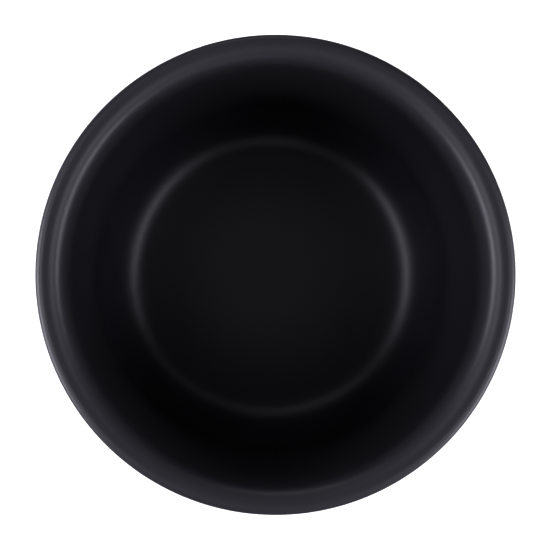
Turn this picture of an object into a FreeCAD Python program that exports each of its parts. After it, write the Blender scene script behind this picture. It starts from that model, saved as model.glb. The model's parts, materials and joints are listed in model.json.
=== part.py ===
# Empty candle jar: a heavy-based pressed-glass tumbler, sprayed with matte black lacquer outside and inside.
# The frame has +Z up the jar's axis, and its origin at the centre of the plane that the jar stands on.
# Every profile lies in the XZ plane, as points (radius, height), and is revolved about Z. Millimetres.
import FreeCAD, Part
import math
import os

# Driving dimensions of the finished jar, measured over the lacquer
HEIGHT = 92.0
OUTER_RADIUS = 40.0
MOUTH_RADIUS = 35.5
FLOOR_HEIGHT = 11.0
LIP_OUTER_RADIUS = 1.4
LIP_INNER_RADIUS = 2.9
INNER_CORNER_RADIUS = 10.5
LACQUER = 0.2

# Driving dimensions of the bare glass base
HEEL_RADIUS = 5.0
RECESS_RADIUS = 31.0
RECESS_DEPTH = 2.4
RECESS_EDGE_RADIUS = 1.5
KNURL_COUNT = 90
KNURL_RADIUS = 0.55
KNURL_DEPTH = 0.3
KNURL_INNER_END = 33.4
KNURL_OUTER_END = 36.3

# The outside lacquer stops this far round the heel, so that the jar stands on bare glass
MASK_ANGLE = -70.0

AXIS = FreeCAD.Vector(0, 0, 1)
ORIGIN = FreeCAD.Vector(0, 0, 0)

HEEL_CENTRE = (OUTER_RADIUS - LACQUER - HEEL_RADIUS, HEEL_RADIUS)
LIP_OUTER_CENTRE = (OUTER_RADIUS - LIP_OUTER_RADIUS, HEIGHT - LIP_OUTER_RADIUS)
LIP_INNER_CENTRE = (MOUTH_RADIUS + LIP_INNER_RADIUS, HEIGHT - LIP_INNER_RADIUS)
INNER_CORNER_CENTRE = (MOUTH_RADIUS - INNER_CORNER_RADIUS, FLOOR_HEIGHT + INNER_CORNER_RADIUS)


def point(radius, height):
    return FreeCAD.Vector(radius, 0, height)


def point_on_arc(centre, radius, angle):
    """The point of a profile arc at this angle, in degrees, from straight out and turning upwards."""
    turn = math.radians(angle)
    return point(centre[0] + radius * math.cos(turn), centre[1] + radius * math.sin(turn))


def line(start, end):
    return Part.makeLine(start, end)


def arc(centre, radius, start_angle, end_angle):
    middle_angle = (start_angle + end_angle) / 2
    stops = [point_on_arc(centre, radius, a) for a in (start_angle, middle_angle, end_angle)]
    return Part.Arc(*stops).toShape()


def revolved(edges):
    """The solid that a closed profile sweeps in one turn about the jar's axis."""
    profile = Part.Wire(Part.__sortEdges__(edges))
    solid = Part.Face(profile).revolve(ORIGIN, AXIS, 360)
    return solid if solid.Volume > 0 else solid.reversed()


def ends(edges):
    """The first and last points of a run of edges that are listed in order."""
    return edges[0].valueAt(edges[0].FirstParameter), edges[-1].valueAt(edges[-1].LastParameter)


def outside_edges(depth, heel_angle):
    """From the heel up the wall and over the lip to the mouth, this deep under the finished surface."""
    return [
        arc(HEEL_CENTRE, HEEL_RADIUS + LACQUER - depth, heel_angle, 0),
        line(
            point(OUTER_RADIUS - depth, HEEL_RADIUS),
            point(OUTER_RADIUS - depth, LIP_OUTER_CENTRE[1]),
        ),
        arc(LIP_OUTER_CENTRE, LIP_OUTER_RADIUS - depth, 0, 90),
        line(
            point(LIP_OUTER_CENTRE[0], HEIGHT - depth),
            point(LIP_INNER_CENTRE[0], HEIGHT - depth),
        ),
        arc(LIP_INNER_CENTRE, LIP_INNER_RADIUS - depth, 90, 180),
    ]


def inside_edges(depth):
    """From the mouth down the wall and round the corner to the floor's centre, this deep below the skin."""
    return [
        line(
            point(MOUTH_RADIUS + depth, LIP_INNER_CENTRE[1]),
            point(MOUTH_RADIUS + depth, INNER_CORNER_CENTRE[1]),
        ),
        arc(INNER_CORNER_CENTRE, INNER_CORNER_RADIUS + depth, 0, -90),
        line(
            point(INNER_CORNER_CENTRE[0], FLOOR_HEIGHT - depth),
            point(0, FLOOR_HEIGHT - depth),
        ),
    ]


def base_edges():
    """From the recess's centre, down its shallow dome and round its edge, to the heel's foot."""
    centre_gap = (RECESS_RADIUS**2 + RECESS_DEPTH**2) / (2 * RECESS_DEPTH)
    dome_radius = centre_gap - RECESS_EDGE_RADIUS
    dome_centre = (0, RECESS_DEPTH - dome_radius)
    edge_centre = (RECESS_RADIUS, RECESS_EDGE_RADIUS)
    tangent = math.degrees(math.atan2(edge_centre[1] - dome_centre[1], edge_centre[0]))
    return [
        arc(dome_centre, dome_radius, 90, tangent),
        arc(edge_centre, RECESS_EDGE_RADIUS, tangent - 180, -90),
        line(point(RECESS_RADIUS, 0), point(HEEL_CENTRE[0], 0)),
    ]


def knurls():
    """Round-nosed cutters that lie across the outer half of the bearing ring, as mould knurling leaves it."""
    cutter_height = KNURL_DEPTH - KNURL_RADIUS
    nose = FreeCAD.Vector(KNURL_INNER_END, 0, cutter_height)
    length = KNURL_OUTER_END - KNURL_INNER_END
    barrel = Part.makeCylinder(KNURL_RADIUS, length, nose, FreeCAD.Vector(1, 0, 0))
    cutter = barrel.fuse(Part.makeSphere(KNURL_RADIUS, nose, FreeCAD.Vector(1, 0, 0)))
    cutters = []
    for number in range(KNURL_COUNT):
        turned = cutter.copy()
        turned.rotate(ORIGIN, AXIS, 360 * number / KNURL_COUNT)
        cutters.append(turned)
    return cutters


def glass_body():
    """The tumbler itself, which stands on its knurled bearing ring."""
    outside = outside_edges(LACQUER, -90)
    inside = inside_edges(LACQUER)
    base = base_edges()
    axis = line(ends(inside)[1], ends(base)[0])
    return revolved(base + outside + inside + [axis]).cut(knurls())


def lacquer_skin(outer, inner):
    """A skin between two runs of edges, closed across their ends."""
    joins = [line(a, b) for a, b in zip(ends(outer), ends(inner))]
    return revolved(outer + inner + joins)


def exterior_lacquer():
    """The sprayed skin on the wall, the heel and the whole lip."""
    return lacquer_skin(outside_edges(0, MASK_ANGLE), outside_edges(LACQUER, MASK_ANGLE))


def interior_lacquer():
    """The sprayed skin in the cup, which meets the outside skin at the foot of the lip."""
    return lacquer_skin(inside_edges(0), inside_edges(LACQUER))


def write_part(name, shape):
    solid = shape.Solids[0]
    if len(shape.Solids) != 1 or not solid.isValid():
        raise ValueError(f"{name} is not one valid solid")
    solid.exportStep(os.path.join("parts", f"{name}.step"))
    print(f"{name}: {solid.Volume / 1000:.2f} cm3, {len(solid.Faces)} faces")


os.makedirs("parts", exist_ok=True)
write_part("glass_body", glass_body())
write_part("exterior_lacquer", exterior_lacquer())
write_part("interior_lacquer", interior_lacquer())
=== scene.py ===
import bmesh
import bpy
import json
import math
from mathutils import Matrix, Vector


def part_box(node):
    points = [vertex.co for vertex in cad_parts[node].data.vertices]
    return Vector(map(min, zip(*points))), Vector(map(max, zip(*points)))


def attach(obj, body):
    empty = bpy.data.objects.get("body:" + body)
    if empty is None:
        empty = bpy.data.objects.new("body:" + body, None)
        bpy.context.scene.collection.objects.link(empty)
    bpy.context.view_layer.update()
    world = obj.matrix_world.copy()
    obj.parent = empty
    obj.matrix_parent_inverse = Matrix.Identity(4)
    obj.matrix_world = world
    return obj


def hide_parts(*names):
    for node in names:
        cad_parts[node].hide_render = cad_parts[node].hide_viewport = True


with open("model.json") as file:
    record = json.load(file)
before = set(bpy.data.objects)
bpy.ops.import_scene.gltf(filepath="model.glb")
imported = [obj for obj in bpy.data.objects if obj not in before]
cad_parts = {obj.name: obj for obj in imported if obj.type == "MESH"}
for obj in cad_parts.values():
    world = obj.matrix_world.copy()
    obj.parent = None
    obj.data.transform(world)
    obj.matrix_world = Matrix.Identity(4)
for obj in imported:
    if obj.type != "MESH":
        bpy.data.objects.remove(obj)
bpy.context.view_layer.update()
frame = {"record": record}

MM = 0.001

# The jar's sizes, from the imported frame
glass_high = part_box("glass_body")[1]
outside_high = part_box("exterior_lacquer")[1]
inside_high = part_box("interior_lacquer")[1]
mounts = {mount["name"]: mount for mount in frame["record"]["mounts"]}
HEIGHT = outside_high.z
OUTER_RADIUS = outside_high.x
LACQUER = outside_high.z - glass_high.z
MOUTH_RADIUS = mounts["mouth"]["dims"]["r_mm"] * MM
MOUTH_LENGTH = mounts["mouth"]["dims"]["length_mm"] * MM
FLOOR_HEIGHT = mounts["wick_seat"]["pos_m"][2]
LIP_INNER_RADIUS = HEIGHT - inside_high.z
INNER_CORNER_RADIUS = inside_high.z - MOUTH_LENGTH - FLOOR_HEIGHT

# The sizes that the frame doesn't state, as the CAD model has them
LIP_OUTER_RADIUS = 1.4 * MM
HEEL_RADIUS = 5.0 * MM
RECESS_RADIUS = 31.0 * MM
RECESS_DEPTH = 2.4 * MM
RECESS_EDGE_RADIUS = 1.5 * MM
KNURL_COUNT = 90
KNURL_RADIUS = 0.55 * MM
KNURL_DEPTH = 0.3 * MM
KNURL_INNER_END = 33.4 * MM
MASK_ANGLE = -70.0

# The rims of the knurling's grooves are softened by about this much
KNURL_SOFTNESS = 0.04 * MM

# Each skin's hidden face is this far inside the glass, so that no two faces lie on each other
BITE = 0.03 * MM

# Fineness of the turned meshes: segments in a turn, steps in a profile's arcs, and gaps between rings
SEGMENTS = 360
SEGMENTS_PER_KNURL = 12
HEEL_STEPS = 18
BARE_HEEL_STEPS = 5
LIP_OUTER_STEPS = 14
LIP_INNER_STEPS = 18
INNER_CORNER_STEPS = 30
DOME_STEPS = 12
RECESS_EDGE_STEPS = 10
WALL_RING_GAP = 3.0 * MM
KNURL_RING_GAP = 0.3 * MM

# A radius below this is on the axis, and vertices nearer than the weld distance are one
ON_AXIS = 1e-7
WELD_DISTANCE = 1e-6
SHARP_ANGLE = math.radians(35)

HEEL_CENTRE = (OUTER_RADIUS - LACQUER - HEEL_RADIUS, HEEL_RADIUS)
LIP_OUTER_CENTRE = (OUTER_RADIUS - LIP_OUTER_RADIUS, HEIGHT - LIP_OUTER_RADIUS)
LIP_INNER_CENTRE = (MOUTH_RADIUS + LIP_INNER_RADIUS, HEIGHT - LIP_INNER_RADIUS)
INNER_CORNER_CENTRE = (MOUTH_RADIUS - INNER_CORNER_RADIUS, FLOOR_HEIGHT + INNER_CORNER_RADIUS)


# Profiles: lists of (radius, height)


def arc(centre, radius, start, end, steps):
    """Points of a profile arc between two angles, in degrees from straight out and turning upwards."""
    points = []
    for step in range(steps + 1):
        turn = math.radians(start + (end - start) * step / steps)
        points.append((centre[0] + radius * math.cos(turn), centre[1] + radius * math.sin(turn)))
    return points


def between(start, end, gap):
    """The points between two profile points, without the two, about this far apart."""
    steps = max(1, round(math.dist(start, end) / gap))
    points = []
    for step in range(1, steps):
        share = step / steps
        points.append((start[0] + (end[0] - start[0]) * share, start[1] + (end[1] - start[1]) * share))
    return points


def joined(runs, gap=WALL_RING_GAP):
    """One profile through these runs of points, with evenly spaced points along the straight stretches."""
    profile = list(runs[0])
    for run in runs[1:]:
        profile += between(profile[-1], run[0], gap) + list(run)
    return profile


def outside_profile(depth):
    """From the heel up the wall and over the lip to the mouth, this deep under the finished surface."""
    heel = arc(HEEL_CENTRE, HEEL_RADIUS + LACQUER - depth, MASK_ANGLE, 0, HEEL_STEPS)
    lip_outside = arc(LIP_OUTER_CENTRE, LIP_OUTER_RADIUS - depth, 0, 90, LIP_OUTER_STEPS)
    lip_inside = arc(LIP_INNER_CENTRE, LIP_INNER_RADIUS - depth, 90, 180, LIP_INNER_STEPS)
    return joined([heel, lip_outside, lip_inside])


def inside_profile(depth):
    """From the mouth down the wall and the corner to the floor's centre, this deep under the surface."""
    mouth = [(MOUTH_RADIUS + depth, LIP_INNER_CENTRE[1])]
    corner = arc(INNER_CORNER_CENTRE, INNER_CORNER_RADIUS + depth, 0, -90, INNER_CORNER_STEPS)
    centre = [(0, FLOOR_HEIGHT - depth)]
    return joined([mouth, corner, centre])


def recess_profile():
    """From the recess's centre, down its shallow dome and round its edge, to the bearing plane."""
    centre_gap = (RECESS_RADIUS**2 + RECESS_DEPTH**2) / (2 * RECESS_DEPTH)
    dome_radius = centre_gap - RECESS_EDGE_RADIUS
    dome_centre = (0, RECESS_DEPTH - dome_radius)
    edge_centre = (RECESS_RADIUS, RECESS_EDGE_RADIUS)
    tangent = math.degrees(math.atan2(edge_centre[1] - dome_centre[1], edge_centre[0]))
    dome = arc(dome_centre, dome_radius, 90, tangent, DOME_STEPS)
    edge = arc(edge_centre, RECESS_EDGE_RADIUS, tangent - 180, -90, RECESS_EDGE_STEPS)
    return dome + edge[1:]


# Turned meshes


def ring(mesh, radius, height, segments, lift=None):
    """A ring of vertices about the jar's axis, or the one vertex on the axis."""
    if radius < ON_AXIS:
        return [mesh.verts.new((0, 0, height))]
    made = []
    for number in range(segments):
        turn = math.tau * number / segments
        z = lift(radius, turn, height) if lift else height
        made.append(mesh.verts.new((radius * math.cos(turn), radius * math.sin(turn), z)))
    return made


def bridge(mesh, lower, upper):
    """Faces between two rings. One may be a single vertex, or have a multiple of the other's vertices."""
    count = max(len(lower), len(upper))
    for number in range(count):
        low_a = lower[number * len(lower) // count]
        low_b = lower[(number + 1) * len(lower) // count % len(lower)]
        up_a = upper[number * len(upper) // count]
        up_b = upper[(number + 1) * len(upper) // count % len(upper)]
        mesh.faces.new(dict.fromkeys([low_a, low_b, up_b, up_a]))


def turned(mesh, profile, segments=SEGMENTS, lift=None):
    """The surface that a profile sweeps about the jar's axis. Returns its first and last rings."""
    rings = [ring(mesh, radius, height, segments, lift) for radius, height in profile]
    for lower, upper in zip(rings, rings[1:]):
        bridge(mesh, lower, upper)
    return rings[0], rings[-1]


def piece_from(mesh, name, material):
    """The finished piece, with smooth faces, and sharp edges where two surfaces meet at an angle."""
    bmesh.ops.remove_doubles(mesh, verts=mesh.verts, dist=WELD_DISTANCE)
    bmesh.ops.recalc_face_normals(mesh, faces=mesh.faces)
    for face in mesh.faces:
        face.smooth = True
    for edge in mesh.edges:
        edge.smooth = edge.calc_face_angle(0) < SHARP_ANGLE
    data = bpy.data.meshes.new(name)
    mesh.to_mesh(data)
    mesh.free()
    data.materials.append(material)
    return placed(name, data)


def placed(name, data):
    """A new object in the scene, for this mesh, lamp or camera."""
    thing = bpy.data.objects.new(name, data)
    bpy.context.scene.collection.objects.link(thing)
    return thing


def stand_for(piece, node):
    """This piece is shown in the place of a CAD node, and moves with the jar's one body."""
    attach(piece, "root")
    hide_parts(node)


# The three pieces


def skin(name, profile, material):
    """A closed skin of lacquer on this profile, from its finished surface to just inside the glass."""
    mesh = bmesh.new()
    outer_ends = turned(mesh, profile(0))
    inner_ends = turned(mesh, profile(LACQUER + BITE))
    for outer_end, inner_end in zip(outer_ends, inner_ends):
        if len(outer_end) > 1:
            bridge(mesh, outer_end, inner_end)
    return piece_from(mesh, name, material)


def exterior_lacquer():
    """The sprayed skin on the wall, the heel and the whole lip."""
    # The outside's lacquer is a darker grey than the cup's: painted shade on the lip
    material = lacquer_material("satin_black_outside", OUTSIDE_GREY_PAINTED_SHADE, OUTSIDE_ROUGHNESS)
    piece = skin("black_exterior_lacquer", outside_profile, material)
    stand_for(piece, "exterior_lacquer")
    return piece


def interior_lacquer():
    """The sprayed skin in the cup, which meets the outside skin at the foot of the lip."""
    # The cup's lacquer is a lighter grey than the outside's: painted light on its walls
    material = lacquer_material("satin_black_inside", INSIDE_GREY_PAINTED_LIGHT, INSIDE_ROUGHNESS)
    piece = skin("black_interior_lacquer", inside_profile, material)
    stand_for(piece, "interior_lacquer")
    return piece


def knurled(radius, turn, height):
    """The underside's height where the knurling's shallow grooves cut into it, with softened rims."""
    pitch = math.tau / KNURL_COUNT
    aside = radius * math.sin((turn + pitch / 2) % pitch - pitch / 2)
    short = max(0.0, KNURL_INNER_END - radius)
    rest = KNURL_RADIUS**2 - aside**2 - short**2
    groove = KNURL_DEPTH - KNURL_RADIUS + math.sqrt(max(rest, 0.0))
    step = groove - height
    spread = (math.hypot(KNURL_RADIUS, KNURL_SOFTNESS) - KNURL_RADIUS) / 2
    return height + (step + math.hypot(step, KNURL_SOFTNESS)) / 2 - spread


def glass_body():
    """The tumbler, as one closed solid, with fine segments only round the knurled ring."""
    knurl_start = (KNURL_INNER_END - KNURL_RADIUS, 0.0)
    bare_heel = arc(HEEL_CENTRE, HEEL_RADIUS, -90, MASK_ANGLE, BARE_HEEL_STEPS)
    bearing_ring = [knurl_start] + between(knurl_start, bare_heel[0], KNURL_RING_GAP)
    mesh = bmesh.new()
    recess_ends = turned(mesh, recess_profile())
    base_ends = turned(mesh, bearing_ring + bare_heel, SEGMENTS_PER_KNURL * KNURL_COUNT, knurled)
    body_ends = turned(mesh, outside_profile(LACQUER)[1:] + inside_profile(LACQUER)[1:])
    bridge(mesh, recess_ends[1], base_ends[0])
    bridge(mesh, base_ends[1], body_ends[0])
    piece = piece_from(mesh, "clear_glass_tumbler", glass_material())
    stand_for(piece, "glass_body")
    return piece


# Materials

# The lacquer's colour wanders from black to a slightly lighter grey. The same lacquer gets two greys: the
# cup's is lighter, which is painted light on its walls, and the outside's is darker, which is painted shade
# on the lip
LACQUER_BLACK = (0.026, 0.025, 0.030)
OUTSIDE_GREY_PAINTED_SHADE = (0.030, 0.029, 0.035)
INSIDE_GREY_PAINTED_LIGHT = (0.044, 0.042, 0.051)
OUTSIDE_ROUGHNESS = (0.40, 0.47)
INSIDE_ROUGHNESS = (0.31, 0.37)
GLASS_GREENER = (0.86, 0.93, 0.9)
GLASS_CLEARER = (0.9, 0.96, 0.93)
GLASS_ROUGHNESS = (0.02, 0.09)
FLOOR_WHITE = (0.83, 0.83, 0.835)
FLOOR_WHITER = (0.86, 0.86, 0.865)

# A noise's values lie mostly in the first range, and the sum of the drift and the grain in the second
NOISE_RANGE = (0.3, 0.7)
SUM_RANGE = (0.75, 1.25)


def new_material(name):
    """A material with its nodes, its links, its Principled shader and the object's own coordinates."""
    material = bpy.data.materials.new(name)
    material.use_nodes = True
    nodes = material.node_tree.nodes
    place = nodes.new("ShaderNodeTexCoord").outputs["Object"]
    return material, nodes, material.node_tree.links, nodes["Principled BSDF"], place


def noise(nodes, links, place, size, detail):
    """A noise pattern whose features are about this large, in metres."""
    node = nodes.new("ShaderNodeTexNoise")
    node.inputs["Scale"].default_value = 1 / size
    node.inputs["Detail"].default_value = detail
    links.new(place, node.inputs["Vector"])
    return node.outputs["Fac"]


def remapped(nodes, links, value, target, source=NOISE_RANGE):
    """A pattern's values, moved from the source range to the target range and kept inside it."""
    node = nodes.new("ShaderNodeMapRange")
    node.inputs["From Min"].default_value = source[0]
    node.inputs["From Max"].default_value = source[1]
    node.inputs["To Min"].default_value = target[0]
    node.inputs["To Max"].default_value = target[1]
    links.new(value, node.inputs["Value"])
    return node.outputs["Result"]


def mixed_colour(nodes, links, share, first, second):
    """A colour that goes from the first to the second with a pattern."""
    node = nodes.new("ShaderNodeMix")
    node.data_type = "RGBA"
    links.new(share, node.inputs["Factor"])
    node.inputs["A"].default_value = (*first, 1)
    node.inputs["B"].default_value = (*second, 1)
    return node.outputs["Result"]


def added(nodes, links, first, second):
    """The sum of two patterns."""
    node = nodes.new("ShaderNodeMath")
    node.operation = "ADD"
    links.new(first, node.inputs[0])
    links.new(second, node.inputs[1])
    return node.outputs["Value"]


def bump(nodes, links, height, depth, before=None):
    """A bump whose pattern stands this high, in metres, on top of the one before it."""
    node = nodes.new("ShaderNodeBump")
    node.inputs["Strength"].default_value = 1.0
    node.inputs["Distance"].default_value = depth
    links.new(height, node.inputs["Height"])
    if before:
        links.new(before, node.inputs["Normal"])
    return node.outputs["Normal"]


def lacquer_material(name, grey, roughness):
    """Sprayed satin-matte black: a fine grain over a faint orange peel, too shallow to change the shape."""
    material, nodes, links, shader, place = new_material(name)
    grain = noise(nodes, links, place, size=0.22 * MM, detail=3.0)
    peel = noise(nodes, links, place, size=1.6 * MM, detail=1.0)
    clouds = noise(nodes, links, place, size=14 * MM, detail=2.0)
    drift = remapped(nodes, links, clouds, (0.42, 0.58))
    blotch = added(nodes, links, drift, grain)
    shade = remapped(nodes, links, blotch, (0.0, 1.0), SUM_RANGE)
    gloss = remapped(nodes, links, blotch, roughness, SUM_RANGE)
    waves = bump(nodes, links, peel, depth=0.004 * MM)
    surface = bump(nodes, links, grain, depth=0.003 * MM, before=waves)
    links.new(mixed_colour(nodes, links, shade, LACQUER_BLACK, grey), shader.inputs["Base Color"])
    links.new(gloss, shader.inputs["Roughness"])
    links.new(surface, shader.inputs["Normal"])
    shader.inputs["IOR"].default_value = 1.5
    shader.inputs["Sheen Weight"].default_value = 0.012
    shader.inputs["Sheen Roughness"].default_value = 0.4
    return material


def glass_material():
    """Fire-polished soda-lime glass, with the faint waviness that a mould leaves."""
    material, nodes, links, shader, place = new_material("soda_lime_glass")
    ripple = noise(nodes, links, place, size=6 * MM, detail=1.0)
    haze = noise(nodes, links, place, size=2.5 * MM, detail=4.0)
    tint = mixed_colour(nodes, links, ripple, GLASS_GREENER, GLASS_CLEARER)
    links.new(tint, shader.inputs["Base Color"])
    links.new(remapped(nodes, links, haze, GLASS_ROUGHNESS), shader.inputs["Roughness"])
    links.new(bump(nodes, links, ripple, depth=0.02 * MM), shader.inputs["Normal"])
    shader.inputs["IOR"].default_value = 1.52
    shader.inputs["Transmission Weight"].default_value = 1.0
    return material


def floor_material():
    """Matte white paper with a faint mottle."""
    material, nodes, links, shader, place = new_material("studio_floor")
    mottle = noise(nodes, links, place, size=80 * MM, detail=3.0)
    white = mixed_colour(nodes, links, mottle, FLOOR_WHITE, FLOOR_WHITER)
    links.new(white, shader.inputs["Base Color"])
    shader.inputs["Roughness"].default_value = 0.7
    shader.inputs["Specular IOR Level"].default_value = 0.2
    return material


# The studio

LAMP_COLOUR = (1.0, 0.985, 1.12)
FLOOR_LAMP_COLOUR = (1.0, 1.0, 1.0)
AIR_STRENGTH = 0.05

# The elevation of a lamp straight above the mouth, in degrees
OVERHEAD = 90

# Each lamp's name, azimuth and elevation in degrees, distance, width, height and watts
SOFTBOXES = (
    ("left_strip", 190, 5, 1.0, 0.9, 0.3, 8.4),
    ("right_strip", -20, 5, 1.0, 1.0, 0.3, 6.4),
    ("left_box", 190, 51.5, 1.1, 0.75, 0.17, 2.95),
    ("right_box", -20, 51.5, 1.1, 0.85, 0.17, 2.65),
    ("right_back_box", 45, 53, 1.1, 0.6, 0.15, 0.09),
    ("back_strip", 95, 8, 1.0, 0.5, 0.3, 0.7),
    ("back_box", 110, 54, 1.1, 0.8, 0.2, 0.34),
    ("front_strip", 285, 8, 1.0, 0.5, 0.3, 0.4),
    ("front_box", 270, 54, 1.1, 0.5, 0.3, 0.22),
)
BOUNCE_LAMPS = (
    ("left_bounce", 190, -13, 1.0, 0.7, 0.34, 1.4),
    ("right_bounce", -20, -13, 1.0, 0.7, 0.34, 2.0),
)
FLOOR_LAMPS = (
    ("broad_floor_lamp", 90, OVERHEAD, 1.8, 2.6, 2.6, 48),
    ("high_floor_lamp", 90, OVERHEAD, 4.0, 1.0, 1.0, 110),
)


def aimed(thing, place, target, upward):
    """Puts a lamp or camera at a place and points it at a target, with its top towards upward."""
    back = (Vector(place) - Vector(target)).normalized()
    right = Vector(upward).cross(back).normalized()
    top = back.cross(right)
    thing.matrix_world = Matrix.Translation(place) @ Matrix((right, top, back)).transposed().to_4x4()


def studio_floor():
    """A round white sweep, flat under the jar and curving up to a low wall. The jar doesn't mirror it."""
    flat_radius = 1.6
    bend_radius = 0.8
    wall_height = 1.6
    gap_under_jar = 0.02 * MM
    mesh = bmesh.new()
    bend = arc((flat_radius, bend_radius), bend_radius, -90, 0, steps=16)
    profile = joined([[(0, 0)], bend, [(flat_radius + bend_radius, wall_height)]], gap=0.2)
    turned(mesh, profile, segments=96)
    floor = piece_from(mesh, "studio_sweep", floor_material())
    floor.location.z = -gap_under_jar
    floor.visible_glossy = False
    floor.visible_diffuse = False
    return floor


def from_bearing(azimuth, elevation, distance):
    """The point at this azimuth from +X, elevation and distance, seen from the middle of the mouth."""
    turn, rise = math.radians(azimuth), math.radians(elevation)
    flat = distance * math.cos(rise)
    return Vector((flat * math.cos(turn), flat * math.sin(turn), HEIGHT + distance * math.sin(rise)))


def softbox(name, azimuth, elevation, distance, width, height, power):
    """A rectangular lamp that faces the jar's mouth. It lights the jar but isn't seen itself."""
    data = bpy.data.lights.new(name, "AREA")
    data.shape = "RECTANGLE"
    data.size = width
    data.size_y = height
    data.energy = power
    data.color = LAMP_COLOUR
    lamp = placed(name, data)
    upward = (0, 1, 0) if elevation == OVERHEAD else (0, 0, 1)
    aimed(lamp, from_bearing(azimuth, elevation, distance), (0, 0, HEIGHT), upward)
    lamp.visible_camera = False
    return lamp


def studio_lights():
    """A low strip and a high box on each side, a little towards the front, and weak ones all round."""
    for row in SOFTBOXES:
        softbox(*row)


def snooted_lamp():
    """A narrow beam straight down into the jar, which lifts the middle of its floor."""
    data = bpy.data.lights.new("snooted_lamp", "SPOT")
    data.energy = 0.32
    data.color = LAMP_COLOUR
    data.spot_size = math.radians(3.2)
    data.spot_blend = 1.0
    data.shadow_soft_size = 0.01
    place = (4 * MM, 8 * MM, HEIGHT + 1.0)
    target = (0, 2 * MM, FLOOR_HEIGHT)
    aimed(placed("snooted_lamp", data), place, target, (0, 1, 0))


def collection_of(name, things):
    """A collection for light linking, outside the scene's own tree."""
    made = bpy.data.collections.new(name)
    for thing in things:
        made.objects.link(thing)
    return made


def bounce_lamps(jar):
    """What the floor sends up to the jar's wall. They stand below the floor, which doesn't shade them."""
    shading = collection_of("shades_the_bounce_lamps", jar)
    for row in BOUNCE_LAMPS:
        lamp = softbox(*row)
        lamp.light_linking.blocker_collection = shading
        lamp.light_linking.receiver_collection = shading


def floor_lamps(floor):
    """A broad lamp and a high one that light only the floor, so that it stays white round a black jar."""
    lit = collection_of("lit_by_the_floor_lamps", [floor])
    for row in FLOOR_LAMPS:
        lamp = softbox(*row)
        lamp.data.color = FLOOR_LAMP_COLOUR
        lamp.light_linking.receiver_collection = lit


def studio_air():
    """The dim surroundings that the jar reflects between the lamps."""
    world = bpy.data.worlds.new("studio_air")
    world.use_nodes = True
    bpy.context.scene.world = world
    air = world.node_tree.nodes["Background"]
    air.inputs["Color"].default_value = (*LAMP_COLOUR, 1)
    air.inputs["Strength"].default_value = AIR_STRENGTH


def studio_camera():
    """Straight above the mouth, a few millimetres left of the axis, with the picture's top towards +Y."""
    height_over_lip = 0.296
    view_width = 0.09115
    place = (-4.6 * MM, -1.0 * MM, HEIGHT + height_over_lip)
    target = (-0.18 * MM, -0.04 * MM, HEIGHT)
    data = bpy.data.cameras.new("camera")
    data.sensor_width = 36.0
    data.lens = data.sensor_width * height_over_lip / view_width
    data.clip_start = 0.01
    camera = placed("camera", data)
    aimed(camera, place, target, (0, 1, 0))
    bpy.context.scene.camera = camera


def plain_tones():
    """No film look: a white floor stays white, and black lacquer stays black."""
    view = bpy.context.scene.view_settings
    view.view_transform = "Standard"
    view.look = "None"
    view.exposure = 0.0
    view.gamma = 1.0


jar = [exterior_lacquer(), interior_lacquer(), glass_body()]
floor_lamps(studio_floor())
studio_lights()
snooted_lamp()
bounce_lamps(jar)
studio_air()
studio_camera()
plain_tones()
